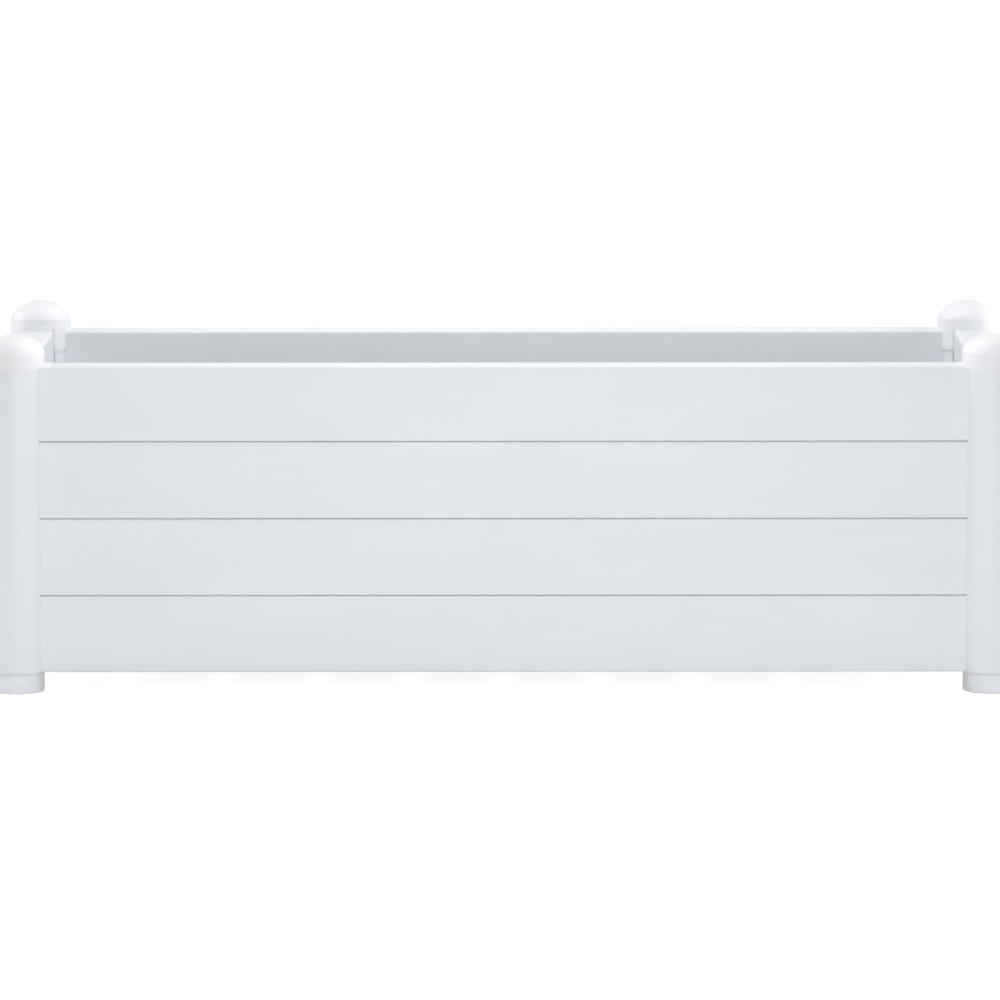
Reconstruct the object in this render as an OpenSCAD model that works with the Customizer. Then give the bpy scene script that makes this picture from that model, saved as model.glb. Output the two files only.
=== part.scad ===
// Long floor planter in hollow white plastic. Four round corner posts, each with a domed cap and a
// short foot, hold four walls of stacked tongue-and-groove boards. The boards slide down channels
// in the posts. A slatted floor lies on two ledger rails that are screwed inside the long walls.
// Millimetres, Z up. The front faces -Y. The origin is on the ground, under the planter's middle.

/* [Overall size] */
// Length over the post caps
length = 1000; // [800:10:1400]
// Depth over the post caps
depth = 430; // [380:10:600]
// Facets of a full circle
$fn = 96; // [48:8:160]

/* [Posts] */
// Outer radius of a corner post
post_r = 29.5; // [28.5:0.5:32]
// Thickness of the post's walls and ribs
post_wall = 2; // [1.6:0.1:2.4]
// Width of the bevel along the mouth of a board channel
lip = 1; // [1:0.1:3]

/* [Walls] */
// Thickness of a board
board_t = 30; // [26:1:31]
// Height that each board under the top one adds to a wall
board_pitch = 74.5; // [60:0.5:90]
// Height of the top board
top_board_h = 73.5; // [60:0.5:90]
// Thickness of a board's outer skin
board_skin = 2; // [1.6:0.1:2.6]
// Thickness of the webs between a board's chambers
board_web = 1.5; // [1:0.1:2]
// Play between a board and its channel, on each face and at the end
board_play = 0.2; // [0.2:0.1:1]
// Gap between two boards
seam_gap = 0.3; // [0.1:0.1:1]
// Radius of a board's lower edges
low_edge_r = 2; // [0.5:0.1:3]
// Radius of a board's upper edges, beside its tongue
high_edge_r = 3; // [0.5:0.1:4]
// Radius of the wall's top edges
rim_r = 4; // [2:0.5:6]

/* [Tongue and groove] */
// Width of the tongue
tongue_w = 14; // [10:1:16]
// Height of the tongue
tongue_h = 8; // [6:1:10]
// Play between tongue and groove
tongue_play = 0.5; // [0.3:0.1:0.8]

/* [Caps] */
// How far a cap stands proud of its post
cap_proud = 0.5; // [0.2:0.1:1]
// Thickness of a cap's walls
cap_wall = 2; // [1.6:0.1:2.6]
// Height of the cap's straight skirt above the walls, which pass through notches in it
cap_skirt_h = 11; // [8:1:18]
// Height of the dome above the skirt
cap_dome_h = 18; // [17.5:0.5:24]
// Radius of the dome's shoulder
cap_shoulder_r = 24; // [18:0.5:25]
// Tilt of the dome's side where it meets the skirt, in degrees
cap_edge = 18; // [16:1:26]
// How far the apron hangs below the top edge of the walls, in the inner corner
cap_apron = 20; // [10:1:30]
// Thickness of the apron
apron_t = 1; // [0.8:0.1:1.5]
// Gap between the apron and the walls beside it
apron_gap = 0.3; // [0.3:0.1:4]

/* [Feet] */
// Height of a foot under its post
foot_h = 20; // [12:1:40]
// Outer radius of a foot
foot_r = 27; // [26:0.5:29]
// Height of the shadow line between a foot and its post
foot_gap = 0.5; // [0.2:0.1:1.5]
// Thickness of a foot's base and walls
foot_wall = 3; // [2.5:0.1:4]
// Radius of the foot's lower edge
foot_edge_r = 1.5; // [0.5:0.1:2]
// Length of the plugs of caps and feet inside a post
plug_l = 25; // [15:1:40]

/* [Floor] */
// Number of floor slats
slat_count = 10; // [8:1:12]
// Thickness of a slat
slat_t = 14; // [10:1:18]
// Drain gap between two slats
slat_gap = 5; // [4.5:0.5:10]
// Radius of a slat's long edges
slat_edge_r = 1.5; // [0.5:0.1:1.9]
// Width of each leg of a ledger rail
rail_leg = 25; // [22:1:30]
// Thickness of a ledger rail
rail_t = 3; // [2:0.5:4]
// Number of screws in each rail
rail_screw_count = 6; // [3:1:9]

/* [Screws] */
// Radius of a screw's shank
screw_r = 2.1; // [1.5:0.1:2.5]
// Radius of a screw's head
screw_head_r = 4; // [3.5:0.1:4.5]
// Height of a screw's head
screw_head_h = 2.4; // [2:0.1:2.6]
// Length of a rail screw under its head
rail_screw_l = 11; // [8:1:14]

/* [Hidden] */
LEVELS = ["bottom", "lower", "upper", "top"];
// Name, side in X, side in Y, and turn that points the two board channels at the neighbours
CORNERS = [
    ["front_left", -1, -1, 0],
    ["front_right", 1, -1, 90],
    ["back_right", 1, 1, 180],
    ["back_left", -1, 1, 270],
];
// Name and side of each wall
LONG_WALLS = [["front", -1], ["back", 1]];
SHORT_WALLS = [["left", -1], ["right", 1]];
SLATS = [for (i = [1:slat_count]) i];

lip_angle = 60;      // angle between the bevel at a channel's mouth and the channel's sides
screw_play = 0.1;    // clearance of a screw in its hole
screw_tip_r = 0.7;   // radius of its blunt point
screw_reach = 4;     // how far a slat screw comes out below its rail
screw_margin = 40;   // distance from a rail's end to its first screw
plug_play = 0.3;     // clearance of a plug in its post
apron_play = 0.1;    // clearance between a cap's apron and its post
apron_lap = 3;       // how far the apron laps over its cap's skirt, above the walls
notch_play = 0.1;    // clearance of a wall in its notch in the skirt
arc_overlap = 0.002; // lets the arcs of a dome cross cleanly where they meet
rib_sink = 0.75;     // how far a foot's ribs run into its wall
floor_play = 1;      // clearance round the floor slats
channel_web = 1.5;   // plastic left where a post's two channels come closest
cell_count = 3;      // chambers in a board, above its groove
cell_r = 0.5;        // radius of their corners
slat_cells = 4;      // chambers in a floor slat
slat_skin = 2;       // thickness of a slat's skin and webs
pan_edge_r = 1;      // radius of a rail screw's head along its rim
recess_l = 4.6;      // length of the cross recess in a screw's head
recess_w = 1;        // width of its slots
recess_d = 1.4;      // depth of its slots
cut = 1;             // how far a cutting shape runs past the surface that it opens

white = [0.90, 0.91, 0.92];
cool_white = [0.88, 0.89, 0.91];
warm_white = [0.95, 0.95, 0.95];
steel = [0.72, 0.73, 0.74];

cap_r = post_r + cap_proud;
post_x = length / 2 - cap_r;
post_y = depth / 2 - cap_r;
top_level = len(LEVELS) - 1;
rim_z = foot_h + top_level * board_pitch + top_board_h;     // top edge of the walls
skirt_z = rim_z - rim_r;                    // lower edge of the caps' skirts, and top of the posts

slot_half = board_t / 2 + board_play;       // half width of a board channel
core_half = slot_half + channel_web;        // half width of the square tube inside a post
bore_half = core_half - post_wall;          // half width of that tube's bore
plug_half = bore_half - plug_play;
board_end = core_half + board_play;         // distance of a board's end from the post's axis
long_board = 2 * (post_x - board_end);
short_board = 2 * (post_y - board_end);
inner_x = post_x - board_t / 2;             // inner faces of the short walls
inner_y = post_y - board_t / 2;             // inner faces of the long walls

groove_d = tongue_h - seam_gap;             // a board's groove rests on the tongue below it
groove_half = tongue_w / 2 + tongue_play;

rail_top_z = foot_h + rail_leg;
rail_half = post_x - post_r - floor_play;   // half length of a rail, clear of the posts
rail_screw_z = foot_h + (rail_leg - rail_t) / 2;
rail_screw_step = 2 * (rail_half - screw_margin) / (rail_screw_count - 1);
floor_half_x = inner_x - floor_play;
slat_pitch = (2 * floor_half_x + slat_gap) / slat_count;
slat_w = slat_pitch - slat_gap;
slat_half_l = inner_y - floor_play;
slat_screw_y = inner_y - rail_leg / 2;
slat_screw_l = slat_t + rail_t + screw_reach;

function slat_x(i) = -floor_half_x + slat_w / 2 + (i - 1) * slat_pitch;
function rail_screw_x(i) = screw_margin - rail_half + i * rail_screw_step;

// ---- Shared shapes ----

// Moves a corner piece, drawn round the origin with channels towards +X and +Y, to its corner.
module at_corner(corner) {
    translate([corner[1] * post_x, corner[2] * post_y, 0])
        rotate(corner[3])
            children();
}

// A bar's section that stands on y = 0, with one radius on its lower and one on its upper corners.
module bar_section(w, h, low_r, high_r) {
    polygon([
        [-w / 2, low_r], [-w / 2 + low_r, 0], [w / 2 - low_r, 0], [w / 2, low_r],
        [w / 2, h - high_r], [w / 2 - high_r, h], [-w / 2 + high_r, h], [-w / 2, h - high_r],
    ]);
    for (side = [-1, 1]) {
        translate([side * (w / 2 - low_r), low_r]) circle(low_r);
        translate([side * (w / 2 - high_r), h - high_r]) circle(high_r);
    }
}

// A square tube along Z, with its section centred on the axis.
module square_tube(half, wall, h) {
    difference() {
        translate([-half, -half, 0]) cube([2 * half, 2 * half, h]);
        translate([wall - half, wall - half, -cut])
            cube([2 * (half - wall), 2 * (half - wall), h + 2 * cut]);
    }
}

// Crossed ribs from the axis out to a radius.
module cross_ribs(r, wall, h) {
    translate([-r, -wall / 2, 0]) cube([2 * r, wall, h]);
    translate([-wall / 2, -r, 0]) cube([wall, 2 * r, h]);
}

// ---- Posts ----

// One board channel, towards +X, with a bevelled mouth.
module channel_outline() {
    mouth_x = sqrt(post_r * post_r - slot_half * slot_half) - lip;
    flare_x = mouth_x + 2 * lip;
    flare_y = slot_half + 2 * lip * tan(lip_angle);
    polygon([
        [core_half, -slot_half], [mouth_x, -slot_half], [flare_x, -flare_y], [post_r + cut, -flare_y],
        [post_r + cut, flare_y], [flare_x, flare_y], [mouth_x, slot_half], [core_half, slot_half],
    ]);
}

// The chambers between the round skin and the square core, with the ribs left standing.
module post_chambers() {
    difference() {
        circle(post_r - post_wall);
        square(2 * core_half, center = true);
        for (turn = [0, 90])
            rotate(turn)
                translate([0, -slot_half - post_wall])
                    square([post_r, 2 * (slot_half + post_wall)]);
        for (turn = [180, 225, 270])
            rotate(turn)
                translate([0, -post_wall / 2])
                    square([post_r, post_wall]);
    }
}

module post() {
    color(cool_white)
        translate([0, 0, foot_h])
            linear_extrude(skirt_z - foot_h)
                difference() {
                    circle(post_r);
                    post_chambers();
                    square(2 * bore_half, center = true);
                    for (turn = [0, 90]) rotate(turn) channel_outline();
                }
}

// ---- Caps ----

// Half of the cap's section, from a given height up, with y = 0 at the top of the straight skirt.
// The skirt ends at the tilted shoulder arc, which runs into the wide crown arc.
module cap_half(inset, low_y) {
    shoulder = [cap_r - cap_shoulder_r * cos(cap_edge), -cap_shoulder_r * sin(cap_edge)];
    drop = cap_dome_h - shoulder[1];
    inner_r = cap_shoulder_r - arc_overlap;
    crown_r = (shoulder[0] ^ 2 + drop ^ 2 - inner_r ^ 2) / (2 * (drop - inner_r));
    crown_x = shoulder[0] * (crown_r - inset) / (crown_r - inner_r);
    intersection() {
        translate([0, low_y]) square([cap_r - inset, cap_dome_h - low_y + cut]);
        union() {
            translate([0, low_y]) square([cap_r, shoulder[1] - low_y]);
            translate(shoulder) circle(cap_shoulder_r - inset);
            intersection() {
                translate([0, cap_dome_h - crown_r]) circle(crown_r - inset);
                translate([0, shoulder[1]]) square([crown_x, drop + cut]);
            }
        }
    }
}

// The cap's outer form as a solid, shrunk by an inset.
module cap_form(inset, low_z) {
    skirt_top = rim_z + cap_skirt_h;
    translate([0, 0, skirt_top]) rotate_extrude() cap_half(inset, low_z - skirt_top);
}

// The tab that hangs down outside the post, in the corner between the two walls.
module apron() {
    in_r = post_r + apron_play;
    low_z = rim_z - cap_apron;
    side = board_t / 2 + apron_gap;
    intersection() {
        difference() {
            translate([0, 0, low_z]) cylinder(r = in_r + apron_t, h = cap_apron + apron_lap);
            translate([0, 0, low_z - cut]) cylinder(r = in_r, h = skirt_z - low_z + cut);
            translate([0, 0, low_z]) cylinder(r = cap_r - cap_wall / 2, h = cap_apron + apron_lap + cut);
        }
        translate([side, side, low_z - cut]) cube([2 * cap_r, 2 * cap_r, cap_apron + apron_lap + 2 * cut]);
    }
}

// Cuts a skirt's notch: the end of a wall along +X, with some play round its top edges.
module wall_notch() {
    h = 4 * rim_r;      // runs well past the skirt's lower edge
    translate([0, 0, rim_z + notch_play - h])
        rotate([90, 0, 90])
            linear_extrude(2 * cap_r)
                bar_section(board_t + 2 * notch_play, h, rim_r, rim_r + notch_play);
}

module cap() {
    color(warm_white) {
        difference() {
            cap_form(0, skirt_z);
            cap_form(cap_wall, skirt_z - cut);
            for (turn = [0, 90]) rotate(turn) wall_notch();
        }
        apron();
        intersection() {
            cap_form(cap_wall / 2, rim_z - plug_l);
            union() {
                translate([0, 0, rim_z - plug_l])
                    square_tube(plug_half, cap_wall, plug_l + cap_skirt_h + cap_dome_h);
                translate([0, 0, rim_z])
                    rotate(45)
                        cross_ribs(cap_r, cap_wall, cap_skirt_h + cap_dome_h);
            }
        }
    }
}

// ---- Feet ----

module foot() {
    color(white) {
        rotate_extrude()
            union() {
                square([foot_r - foot_edge_r, foot_wall]);
                translate([foot_r - foot_edge_r, foot_edge_r]) circle(foot_edge_r);
                translate([foot_r - foot_wall, foot_edge_r]) {
                    square([foot_wall, foot_h - foot_gap - foot_edge_r]);
                    square([foot_wall / 2, foot_h - foot_edge_r]);
                }
            }
        square_tube(plug_half, foot_wall, foot_h + plug_l);
        cross_ribs(foot_r - foot_wall + rib_sink, foot_wall, foot_h);
    }
}

// ---- Boards ----

// The chambers in a board's section. The highest one follows the board's upper edges.
module board_cells(h, has_groove, edge_r) {
    low = has_groove ? groove_d + board_skin : board_skin;
    cell_h = (h - board_skin - low - (cell_count - 1) * board_web) / cell_count;
    high_r = max(edge_r - board_skin, cell_r);
    for (i = [0:cell_count - 1])
        translate([0, low + i * (cell_h + board_web)])
            bar_section(board_t - 2 * board_skin, cell_h, cell_r, i < cell_count - 1 ? cell_r : high_r);
}

module board_section(h, has_groove, has_tongue) {
    edge_r = has_tongue ? high_edge_r : rim_r;
    difference() {
        union() {
            bar_section(board_t, h, low_edge_r, edge_r);
            if (has_tongue)
                translate([-tongue_w / 2, h - board_skin]) square([tongue_w, tongue_h + board_skin]);
        }
        board_cells(h, has_groove, edge_r);
        if (has_groove)
            translate([-groove_half, -cut]) square([2 * groove_half, groove_d + cut]);
        if (has_tongue)
            translate([board_web - tongue_w / 2, h])
                square([tongue_w - 2 * board_web, tongue_h - board_web]);
    }
}

// A board of one level, centred over the origin along X.
module board(level, l) {
    h = level < top_level ? board_pitch - seam_gap : top_board_h;
    translate([-l / 2, 0, foot_h + level * board_pitch])
        rotate([90, 0, 90])
            linear_extrude(l)
                board_section(h, level > 0, level < top_level);
}

module long_board(wall, level) {
    color(white)
        difference() {
            translate([0, wall[1] * post_y, 0]) board(level, long_board);
            if (level == 0) rail_screw_holes(wall);
        }
}

module short_board(wall, level) {
    color(white)
        translate([wall[1] * post_x, 0, 0])
            rotate(90)
                board(level, short_board);
}

// ---- Floor ----

// Puts what it is given at each screw of a rail, with +Z out of the wall.
module at_rail_screws(wall) {
    for (i = [0:rail_screw_count - 1])
        translate([rail_screw_x(i), wall[1] * (inner_y - rail_t), rail_screw_z])
            rotate([wall[1] * 90, 0, 0])
                children();
}

// Puts what it is given at each slat screw of a wall's side, on the floor's surface.
module at_slat_screws(wall, numbers) {
    for (i = numbers)
        translate([slat_x(i), wall[1] * slat_screw_y, rail_top_z + slat_t])
            children();
}

module rail_screw_holes(wall) {
    at_rail_screws(wall)
        translate([0, 0, -rail_t - board_skin - cut])
            cylinder(r = screw_r + screw_play, h = rail_t + board_skin + 2 * cut);
}

module slat_screw_holes(wall, numbers) {
    at_slat_screws(wall, numbers) {
        translate([0, 0, -slat_t - rail_t - cut])
            cylinder(r = screw_r + screw_play, h = slat_t + rail_t + 2 * cut);
        translate([0, 0, -screw_head_h])
            cylinder(r1 = screw_r + screw_play, r2 = screw_head_r + screw_play, h = screw_head_h);
        cylinder(r = screw_head_r + screw_play, h = cut);
    }
}

module ledger_rail(wall) {
    color(white)
        difference() {
            translate([-rail_half, 0, 0])
                rotate([90, 0, 90])
                    linear_extrude(2 * rail_half)
                        polygon([for (p = [
                            [inner_y, foot_h], [inner_y - rail_t, foot_h],
                            [inner_y - rail_t, rail_top_z - rail_t],
                            [inner_y - rail_leg, rail_top_z - rail_t],
                            [inner_y - rail_leg, rail_top_z], [inner_y, rail_top_z],
                        ]) [wall[1] * p[0], p[1]]]);
            rail_screw_holes(wall);
            slat_screw_holes(wall, SLATS);
        }
}

module slat_section() {
    cell_w = (slat_w - slat_skin) / slat_cells - slat_skin;
    difference() {
        bar_section(slat_w, slat_t, slat_edge_r, slat_edge_r);
        for (i = [0:slat_cells - 1])
            translate([slat_skin - slat_w / 2 + i * (cell_w + slat_skin), slat_skin])
                square([cell_w, slat_t - 2 * slat_skin]);
    }
}

// A slat across the floor. The first and the last are notched round the posts.
module floor_slat(i) {
    color(white)
        difference() {
            translate([slat_x(i), slat_half_l, rail_top_z])
                rotate([90, 0, 0])
                    linear_extrude(2 * slat_half_l)
                        slat_section();
            if (i == 1 || i == slat_count)
                for (corner = CORNERS)
                    translate([corner[1] * post_x, corner[2] * post_y, rail_top_z - cut])
                        cylinder(r = post_r + floor_play, h = slat_t + 2 * cut);
            for (wall = LONG_WALLS) slat_screw_holes(wall, [i]);
        }
}

// ---- Screws ----

// A screw's shank, from a given depth under its head down to its point.
module screw_shank(top_z, l) {
    translate([0, 0, screw_r - l]) cylinder(r = screw_r, h = l - screw_r + top_z);
    translate([0, 0, -l]) cylinder(r1 = screw_tip_r, r2 = screw_r, h = screw_r);
}

// A cross recess, sunk from z = 0.
module cross_recess() {
    for (turn = [0, 90])
        rotate(turn)
            translate([-recess_l / 2, -recess_w / 2, -recess_d])
                cube([recess_l, recess_w, recess_d + cut]);
}

module pan_head() {
    rotate_extrude() {
        square([screw_head_r, screw_head_h - pan_edge_r]);
        square([screw_head_r - pan_edge_r, screw_head_h]);
        translate([screw_head_r - pan_edge_r, screw_head_h - pan_edge_r]) circle(pan_edge_r);
    }
}

module rail_screws(wall) {
    color(steel)
        at_rail_screws(wall) {
            difference() {
                pan_head();
                translate([0, 0, screw_head_h]) cross_recess();
            }
            screw_shank(0, rail_screw_l);
        }
}

module slat_screws(wall) {
    color(steel)
        at_slat_screws(wall, SLATS) {
            difference() {
                translate([0, 0, -screw_head_h])
                    cylinder(r1 = screw_r, r2 = screw_head_r, h = screw_head_h);
                cross_recess();
            }
            screw_shank(-screw_head_h, slat_screw_l);
        }
}

// ---- The planter ----

for (corner = CORNERS) {
    at_corner(corner) post();
    at_corner(corner) cap();
    at_corner(corner) foot();
}
for (level = [0:top_level]) {
    for (wall = LONG_WALLS)
        long_board(wall, level);
    for (wall = SHORT_WALLS)
        short_board(wall, level);
}
for (wall = LONG_WALLS) {
    ledger_rail(wall);
    rail_screws(wall);
    slat_screws(wall);
}
for (i = SLATS)
    floor_slat(i);
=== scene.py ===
import math

import bpy
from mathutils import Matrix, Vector

# Looks, light and camera for the long white planter.
# Lengths are in metres, in the frame of the CAD model. Colours are linear red, green and blue.

# ---- Camera: fitted to the photograph ----
CAMERA_AT = (0.0096, -6.5904, 0.9426)
LENS_MM = 241.3
SENSOR_MM = 36.0
PITCH_DOWN_DEG = 6.744
ROLL_DEG = 0.060
YAW_DEG = 0.108
CLIP_END = 100.0

# ---- Plastic and steel ----
BOARD_WHITE = (0.795, 0.820, 0.852)
POST_WHITE = (0.800, 0.828, 0.862)
CAP_WHITE = (0.828, 0.838, 0.862)
FOOT_WHITE = (0.815, 0.840, 0.870)
RAIL_WHITE = (0.770, 0.785, 0.800)
STEEL_GREY = (0.60, 0.60, 0.61)
PVC_IOR = 1.53

# Lowest and highest roughness on each surface
WALL_ROUGHNESS = (0.30, 0.40)
CAP_ROUGHNESS = (0.44, 0.54)
FOOT_ROUGHNESS = (0.36, 0.46)
RAIL_ROUGHNESS = (0.48, 0.60)
STEEL_ROUGHNESS = (0.26, 0.40)

# ---- Surface detail: sizes of the noise, depths of the bumps, darkest and lightest tones ----
DIE_LINE_LENGTH, DIE_LINE_WIDTH, DIE_LINE_DEPTH = 0.9, 0.0011, 0.000020
WAVE_LENGTH, WAVE_WIDTH, WAVE_DEPTH = 0.7, 0.016, 0.00030
SKIN_SIZE, SKIN_DEPTH = 0.0006, 0.000006
CLOUD_LENGTH, CLOUD_WIDTH, CLOUD_TONES = 0.16, 0.05, (0.985, 1.01)
PEEL_SIZE, PEEL_DEPTH = 0.0014, 0.000012
FLOW_SIZE, FLOW_DEPTH, FLOW_TONES = (0.012, 0.012, 0.03), 0.00006, (0.99, 1.005)
GRAIN_SIZE, GRAIN_DEPTH, GRAIN_TONES = 0.0004, 0.000008, (0.9, 1.0)

# Most values of a noise lie between these two
NOISE_LOW, NOISE_HIGH = 0.3, 0.7

# ---- Light ----
SKY_STRENGTH = 0.20
SKY_COLOUR = (1.00, 1.00, 1.00)
# Name, power in watts, place, point that it is aimed at, width, height
SOFTBOXES = [
    ("front_light", 34.0, (0.0, -2.6, 2.6), (0.0, 0.0, 0.2), 2.4, 1.2),
    ("low_front_light", 3.9, (0.0, -1.5, 0.30), (0.0, 0.0, 0.2), 1.2, 0.4),
    ("top_light", 7.8, (0.0, 0.0, 1.4), (0.0, 0.0, 0.2), 1.0, 0.6),
    ("left_light", 27.0, (-2.5, 0.35, 0.95), (0.0, 0.1, 0.25), 1.4, 1.4),
    ("right_light", 19.5, (2.5, 0.35, 0.95), (0.0, 0.1, 0.25), 1.4, 1.4),
    ("low_right_light", 12.5, (2.5, 0.0, 0.50), (0.0, 0.0, 0.3), 1.6, 0.4),
]

# ---- Floor and background ----
FLOOR_HALF = 12.0
FLOOR_WHITE = (0.85, 0.85, 0.85)
FLOOR_GLOW = 0.85
BACKGROUND_WHITE = (1.0, 1.0, 1.0)

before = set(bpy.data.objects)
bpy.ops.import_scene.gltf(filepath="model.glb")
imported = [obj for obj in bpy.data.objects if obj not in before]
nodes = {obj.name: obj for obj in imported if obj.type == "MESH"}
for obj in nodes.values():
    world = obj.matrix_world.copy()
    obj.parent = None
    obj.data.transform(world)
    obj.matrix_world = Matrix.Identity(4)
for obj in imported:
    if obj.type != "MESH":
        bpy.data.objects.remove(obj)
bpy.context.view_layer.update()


# ---- Node helpers ----

class Graph:
    """The nodes of a material or of the world, with short calls for the ones used here."""

    def __init__(self, owner):
        owner.use_nodes = True
        self.owner = owner
        self.tree = owner.node_tree
        self.tree.nodes.clear()

    def add(self, kind, inputs=None, **settings):
        """A new node. Each of its inputs is a value, or a socket that it is linked to."""
        node = self.tree.nodes.new(kind)
        for key, value in settings.items():
            setattr(node, key, value)
        for key, value in (inputs or {}).items():
            if isinstance(value, bpy.types.NodeSocket):
                self.tree.links.new(value, node.inputs[key])
            else:
                node.inputs[key].default_value = value
        return node

    def noise(self, size, detail=2.0, roughness=0.5, seed=0.0):
        """Noise with cells of the given size along X, Y and Z. The seed moves it elsewhere."""
        spread = self.add("ShaderNodeMapping", {
            "Vector": self.add("ShaderNodeTexCoord").outputs["Object"],
            "Location": (seed, seed, seed),
            "Scale": tuple(1 / s for s in size),
        })
        made = self.add("ShaderNodeTexNoise", {
            "Vector": spread.outputs["Vector"],
            "Scale": 1.0,
            "Detail": detail,
            "Roughness": roughness,
        })
        return made.outputs["Fac"]

    def ranged(self, noise, low, high):
        """The noise, stretched so that most of its values run from low to high."""
        made = self.add("ShaderNodeMapRange", {
            "Value": noise,
            "From Min": NOISE_LOW,
            "From Max": NOISE_HIGH,
            "To Min": low,
            "To Max": high,
        })
        return made.outputs["Result"]

    def tones(self, noise, colour, factors):
        """The colour times the first factor where the noise is low, and times the second where high."""
        made = self.add("ShaderNodeMix", data_type="RGBA")
        self.tree.links.new(self.ranged(noise, 0.0, 1.0), made.inputs["Factor"])
        for socket, factor in zip(("A", "B"), factors):
            made.inputs[socket].default_value = opaque(c * factor for c in colour)
        return made.outputs["Result"]

    def bump(self, height, depth, under=None):
        """A bump of the given depth, over another bump if there is one."""
        inputs = {"Height": height, "Distance": depth, "Strength": 1.0}
        if under:
            inputs["Normal"] = under
        return self.add("ShaderNodeBump", inputs).outputs["Normal"]

    def seen(self):
        """1 for the rays that show a background to the camera, in reflections and through glass."""
        path = self.add("ShaderNodeLightPath").outputs
        seen = path["Is Camera Ray"]
        for ray in ("Is Glossy Ray", "Is Transmission Ray"):
            seen = self.add("ShaderNodeMath", {0: seen, 1: path[ray]}, operation="MAXIMUM").outputs[0]
        return seen

    def finish(self, **inputs):
        """Closes a material with one Principled shader. Base_Color stands for Base Color, and so on."""
        sockets = {key.replace("_", " "): value for key, value in inputs.items()}
        shader = self.add("ShaderNodeBsdfPrincipled", sockets)
        self.add("ShaderNodeOutputMaterial", {"Surface": shader.outputs["BSDF"]})
        return self.owner


def new_graph(name):
    return Graph(bpy.data.materials.new(name))


def opaque(colour):
    return (*colour, 1.0)


# ---- Materials ----

def extruded_pvc(name, colour, axis, roughness):
    """PVC drawn through a die along one axis: die lines, a broad waviness and a fine skin."""
    g = new_graph(name)

    def along(length, across):
        return tuple(length if a == axis else across for a in range(3))

    lines = g.noise(along(DIE_LINE_LENGTH, DIE_LINE_WIDTH), detail=3.0, roughness=0.6)
    waves = g.noise(along(WAVE_LENGTH, WAVE_WIDTH), detail=1.0, seed=3.1)
    skin = g.noise((SKIN_SIZE,) * 3, detail=1.0, seed=7.7)
    cloud = g.noise(along(CLOUD_LENGTH, CLOUD_WIDTH), detail=3.0, seed=5.3)
    normal = g.bump(waves, WAVE_DEPTH)
    normal = g.bump(lines, DIE_LINE_DEPTH, normal)
    normal = g.bump(skin, SKIN_DEPTH, normal)
    return g.finish(
        Base_Color=g.tones(cloud, colour, CLOUD_TONES),
        Roughness=g.ranged(lines, *roughness),
        IOR=PVC_IOR,
        Normal=normal,
    )


def moulded_pvc(name, colour, roughness):
    """Injection moulded PVC: an even orange peel and faint flow clouds."""
    g = new_graph(name)
    peel = g.noise((PEEL_SIZE,) * 3)
    flow = g.noise(FLOW_SIZE, seed=4.2)
    normal = g.bump(flow, FLOW_DEPTH)
    normal = g.bump(peel, PEEL_DEPTH, normal)
    return g.finish(
        Base_Color=g.tones(flow, colour, FLOW_TONES),
        Roughness=g.ranged(peel, *roughness),
        IOR=PVC_IOR,
        Normal=normal,
    )


def steel(name):
    """Plain stainless steel with a fine even grain."""
    g = new_graph(name)
    grain = g.noise((GRAIN_SIZE,) * 3, detail=3.0)
    return g.finish(
        Base_Color=g.tones(grain, STEEL_GREY, GRAIN_TONES),
        Metallic=1.0,
        Roughness=g.ranged(grain, *STEEL_ROUGHNESS),
        Normal=g.bump(grain, GRAIN_DEPTH),
    )


def pale_floor(name):
    """A plain pale floor. To the camera and in reflections it also glows, up to white."""
    g = new_graph(name)
    plain = g.add("ShaderNodeBsdfDiffuse", {"Color": opaque(FLOOR_WHITE)}).outputs[0]
    glow = g.add("ShaderNodeEmission", {"Strength": FLOOR_GLOW}).outputs[0]
    lit = g.add("ShaderNodeAddShader", {0: plain, 1: glow}).outputs[0]
    mix = g.add("ShaderNodeMixShader", {0: g.seen(), 1: plain, 2: lit}).outputs[0]
    g.add("ShaderNodeOutputMaterial", {"Surface": mix})
    return g.owner


X, Y, Z = 0, 1, 2
board_x = extruded_pvc("board_pvc_x", BOARD_WHITE, X, WALL_ROUGHNESS)
board_y = extruded_pvc("board_pvc_y", BOARD_WHITE, Y, WALL_ROUGHNESS)
post_pvc = extruded_pvc("post_pvc_z", POST_WHITE, Z, WALL_ROUGHNESS)
cap_pvc = moulded_pvc("cap_pvc_moulded", CAP_WHITE, CAP_ROUGHNESS)
foot_pvc = moulded_pvc("foot_pvc_moulded", FOOT_WHITE, FOOT_ROUGHNESS)
rail_pvc = extruded_pvc("rail_pvc_x", RAIL_WHITE, X, RAIL_ROUGHNESS)
slat_pvc = extruded_pvc("slat_pvc_y", RAIL_WHITE, Y, RAIL_ROUGHNESS)
screw_steel = steel("screw_steel_brushed")

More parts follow.
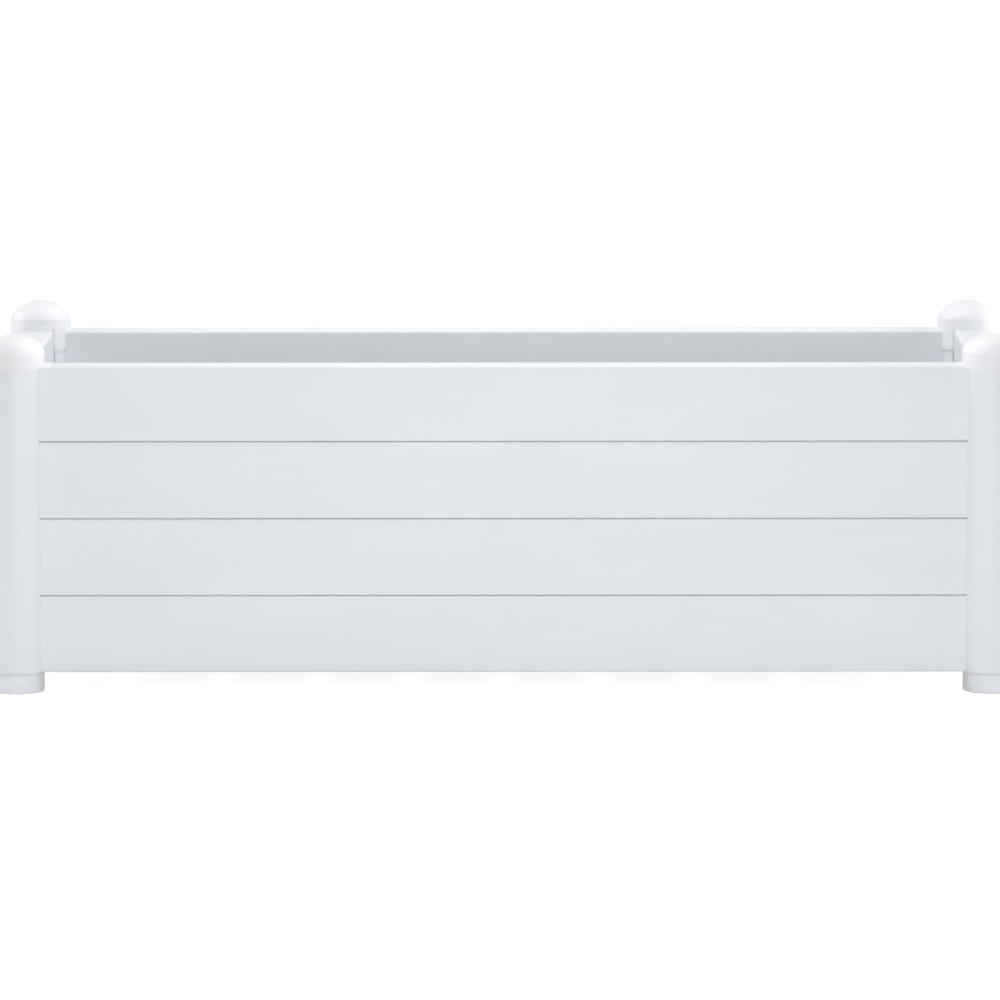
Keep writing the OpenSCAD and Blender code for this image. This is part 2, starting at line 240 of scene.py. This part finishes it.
# The start of a node's name, and its material
FINISHES = [
    ("front_board_", board_x), ("back_board_", board_x),
    ("left_board_", board_y), ("right_board_", board_y),
    ("post_", post_pvc), ("cap_", cap_pvc), ("foot_", foot_pvc),
    ("ledger_rail_", rail_pvc), ("floor_slat_", slat_pvc),
    ("rail_screws_", screw_steel), ("slat_screws_", screw_steel),
]
for name, node in nodes.items():
    material = next(finish for start, finish in FINISHES if name.startswith(start))
    for material_slot in node.material_slots:
        material_slot.material = material


# ---- Floor, world, light and camera ----

def add_object(name, data):
    thing = bpy.data.objects.new(name, data)
    bpy.context.collection.objects.link(thing)
    return thing


def make_floor():
    mesh = bpy.data.meshes.new("floor")
    h = FLOOR_HALF
    mesh.from_pydata([(-h, -h, 0), (h, -h, 0), (h, h, 0), (-h, h, 0)], [], [(0, 1, 2, 3)])
    mesh.materials.append(pale_floor("floor_pale"))
    floor = add_object("floor", mesh)


def make_world():
    """Soft light from all round. The camera and the reflections see plain white instead."""
    world = bpy.data.worlds.new("studio")
    bpy.context.scene.world = world
    g = Graph(world)

    def background(colour, strength):
        inputs = {"Color": opaque(colour), "Strength": strength}
        return g.add("ShaderNodeBackground", inputs).outputs[0]

    sky = background(SKY_COLOUR, SKY_STRENGTH)
    white = background(BACKGROUND_WHITE, 1.0)
    mix = g.add("ShaderNodeMixShader", {0: g.seen(), 1: sky, 2: white}).outputs[0]
    g.add("ShaderNodeOutputWorld", {"Surface": mix})


def make_softbox(name, power, place, target, width, height):
    lamp = bpy.data.lights.new(name, "AREA")
    lamp.shape = "RECTANGLE"
    lamp.energy = power
    lamp.size = width
    lamp.size_y = height
    softbox = add_object(name, lamp)
    softbox.location = place
    look = Vector(target) - Vector(place)
    softbox.rotation_euler = look.to_track_quat("-Z", "Y").to_euler()


def make_camera():
    data = bpy.data.cameras.new("camera")
    data.lens = LENS_MM
    data.sensor_width = SENSOR_MM
    data.clip_end = CLIP_END
    camera = add_object("camera", data)
    camera.location = CAMERA_AT
    angles = (90 - PITCH_DOWN_DEG, ROLL_DEG, YAW_DEG)
    camera.rotation_euler = [math.radians(a) for a in angles]
    bpy.context.scene.camera = camera


make_floor()
make_world()
for softbox in SOFTBOXES:
    make_softbox(*softbox)
make_camera()
bpy.context.scene.view_settings.view_transform = "Standard"
